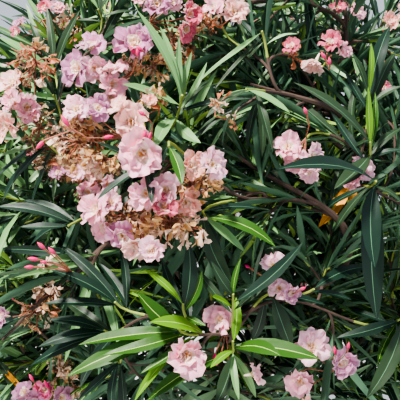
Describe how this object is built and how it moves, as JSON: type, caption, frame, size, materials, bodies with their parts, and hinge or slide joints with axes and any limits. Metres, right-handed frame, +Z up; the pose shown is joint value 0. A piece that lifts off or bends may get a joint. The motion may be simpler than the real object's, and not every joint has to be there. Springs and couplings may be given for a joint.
{
  "type": "potted oleander",
  "caption": "Evergreen oleander shrub with slender stems, long narrow leaves and pale pink blossom, standing in a plain round clay pot.",
  "frame": {"origin": "middle of the pot's flat underside, on the ground it stands on", "axes": "+Z up along the pot's middle line; the picture looks along +Y, with +X to the right"},
  "size_m": [1.1709, 1.1121, 1.6616],
  "materials": {
    "clay_pot": "unglazed, matt",
    "soil": "crumbly, matt",
    "bark": "smooth bark, matt",
    "foliage": "leathery leaves with a soft gloss, pale pink petals"
  },
  "bodies": {
    "root": {"pot": "clay_pot", "soil": "soil", "stem_middle": "bark", "stem_1": "bark", "stem_2": "bark", "stem_3": "bark", "stem_4": "bark", "bough_top": "bark", "bough_upper_1": "bark", "bough_upper_2": "bark", "bough_upper_3": "bark", "bough_upper_4": "bark", "bough_lower_1": "bark", "bough_lower_2": "bark", "bough_lower_3": "bark", "bough_lower_4": "bark", "bough_lower_5": "bark", "bough_lower_6": "bark", "foliage_top": "foliage", "foliage_upper_1": "foliage", "foliage_upper_2": "foliage", "foliage_upper_3": "foliage", "foliage_upper_4": "foliage", "foliage_lower_1": "foliage", "foliage_lower_2": "foliage", "foliage_lower_3": "foliage", "foliage_lower_4": "foliage", "foliage_lower_5": "foliage", "foliage_lower_6": "foliage"}
  },
  "joints": []
}
